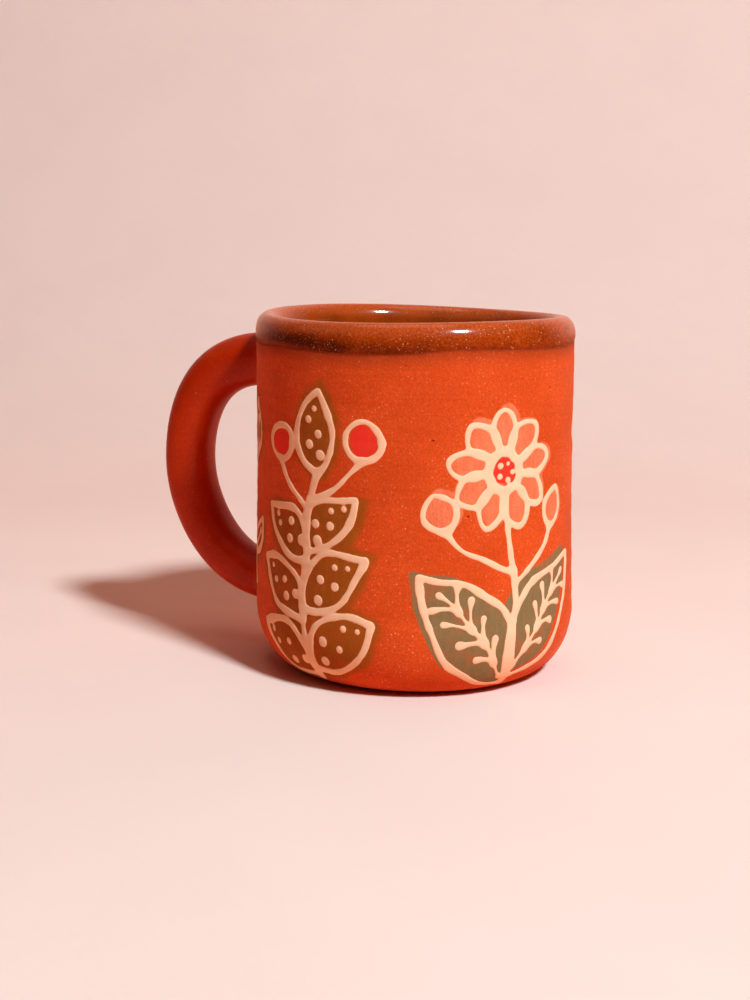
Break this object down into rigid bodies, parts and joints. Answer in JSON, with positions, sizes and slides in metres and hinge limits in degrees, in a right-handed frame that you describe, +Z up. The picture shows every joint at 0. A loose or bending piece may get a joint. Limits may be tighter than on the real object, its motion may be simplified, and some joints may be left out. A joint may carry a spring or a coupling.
{
  "type": "mug",
  "caption": "Hand-thrown redware mug with a soft round base, a rolled lip under brown glaze and a thick pulled loop handle, for hot drinks.",
  "frame": {"origin": "centre of the foot's flat underside, on the table", "axes": "+Z up along the cup's axis, the handle stands out along -X, +Y across the handle"},
  "size_m": [0.119, 0.0862, 0.0961],
  "materials": {
    "red_clay": "matte unglazed red earthenware with trailed cream slip and brushed coloured washes",
    "handle_clay": "smooth unglazed red earthenware, lightly polished by the hand",
    "joint_slip": "smoothed red clay slip, unglazed",
    "cream_slip": "trailed cream slip, matte, standing a little above the wall",
    "brown_glaze": "glossy clear glaze, brown over the red clay, speckled, darker at its lower edge"
  },
  "bodies": {
    "root": {"cup_body": "red_clay", "glaze_coat": "brown_glaze", "handle": "handle_clay", "upper_luting_slip": "joint_slip", "lower_luting_slip": "joint_slip"}
  },
  "joints": []
}
